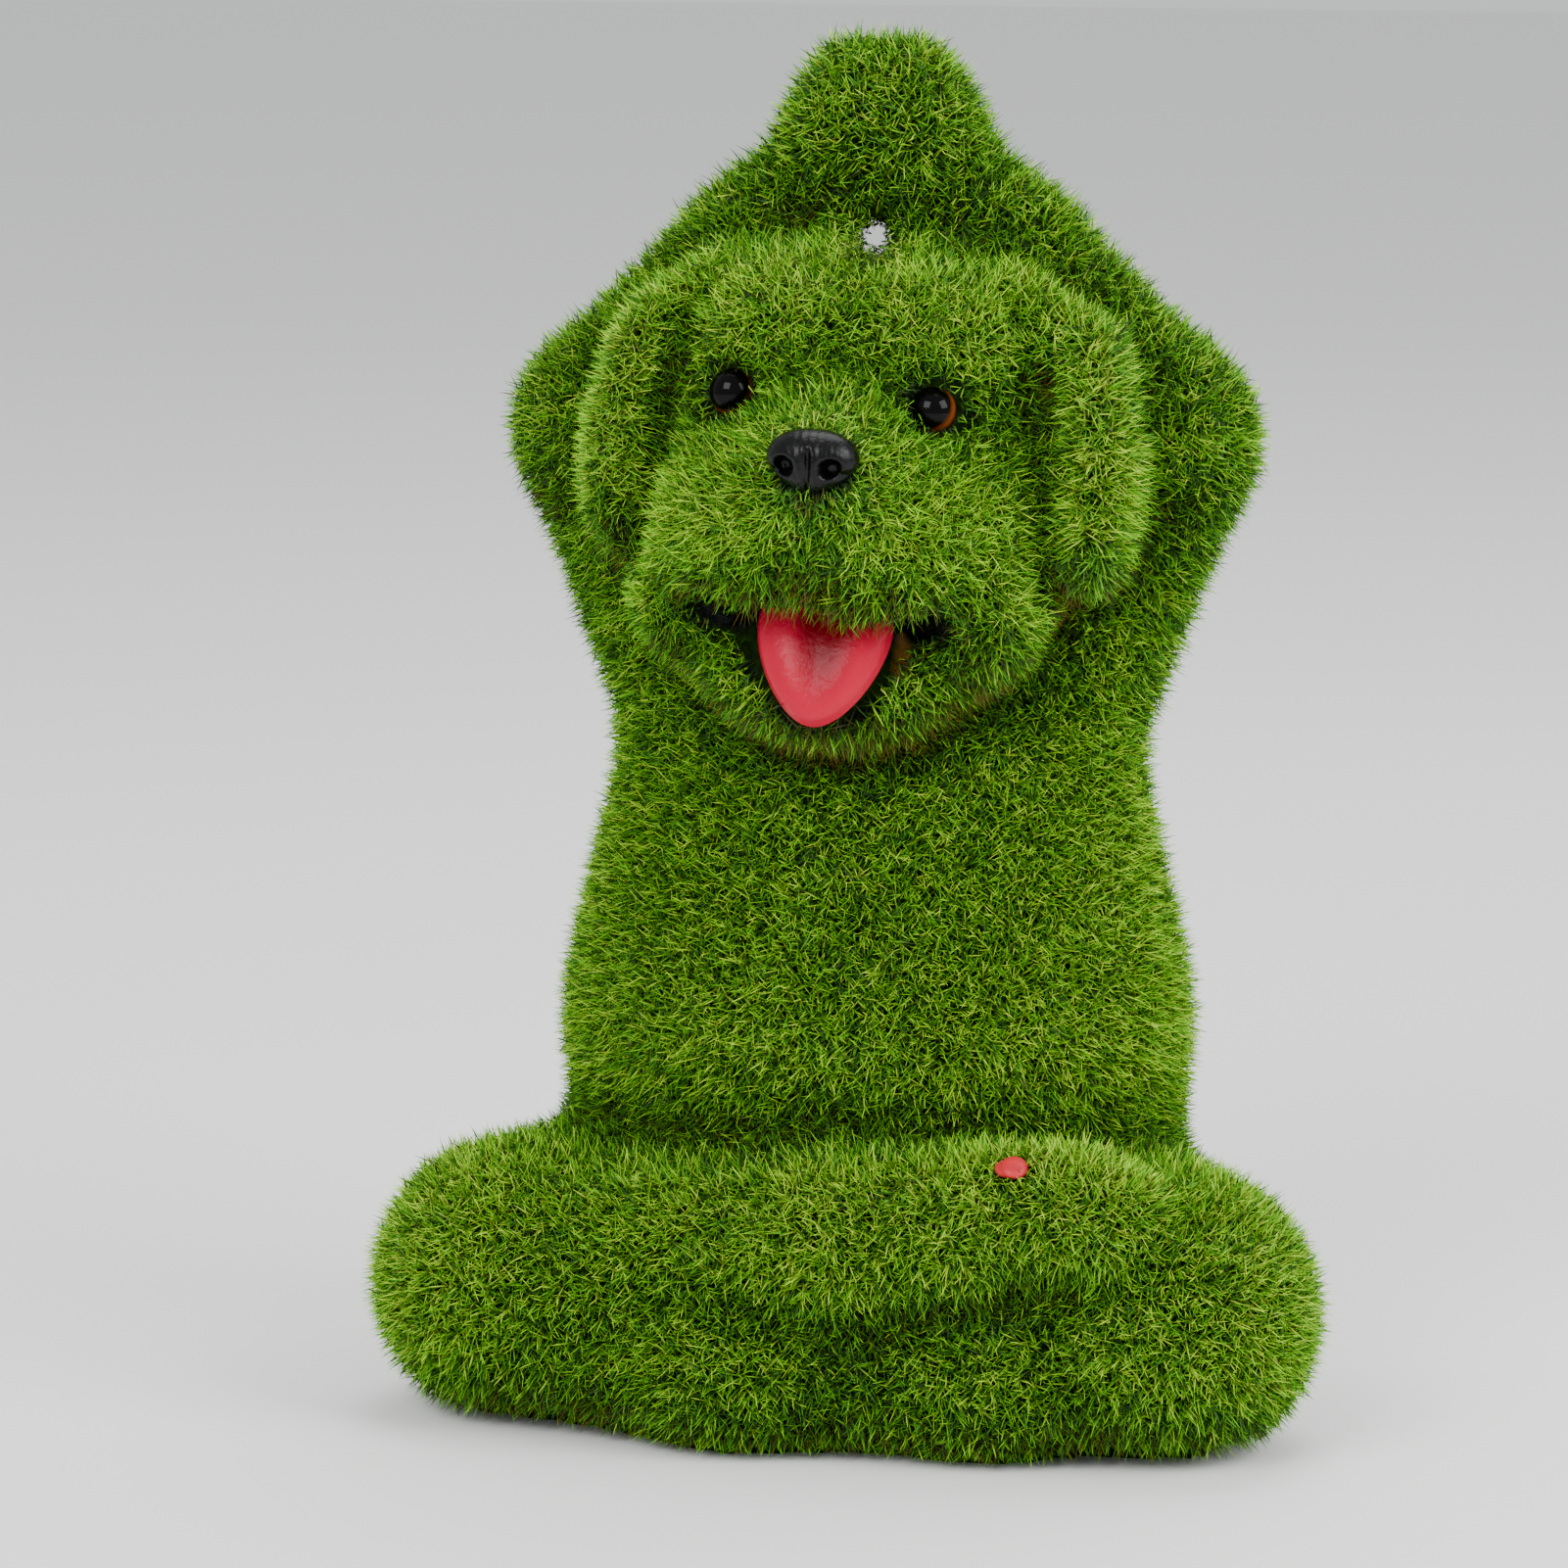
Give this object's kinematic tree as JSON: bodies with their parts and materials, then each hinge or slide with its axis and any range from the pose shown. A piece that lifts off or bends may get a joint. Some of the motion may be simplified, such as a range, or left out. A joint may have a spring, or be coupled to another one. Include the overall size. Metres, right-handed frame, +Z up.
{
  "type": "dog garden statue",
  "caption": "Dog garden statue in a cross-legged yoga pose, paws pressed together overhead, flocked all over with artificial grass, with glossy eyes, nose and tongue.",
  "frame": {"origin": "on the ground, under the middle of the statue's box", "axes": "+Z up through the raised paws, the dog faces -Y, and its own left side is +X"},
  "size_m": [0.2078, 0.1252, 0.3],
  "materials": {
    "grass": "resin casting flocked with 5 mm artificial grass fibres, yellow-green tips over dark green roots",
    "eyes": "black pupil with an orange-brown rim under a clear gloss dome",
    "nose": "glossy black enamel",
    "tongue": "glossy rose-red enamel"
  },
  "bodies": {
    "root": {"body": "grass", "eye_right": "eyes", "eye_left": "eyes", "nose": "nose", "tongue": "tongue"}
  },
  "joints": []
}
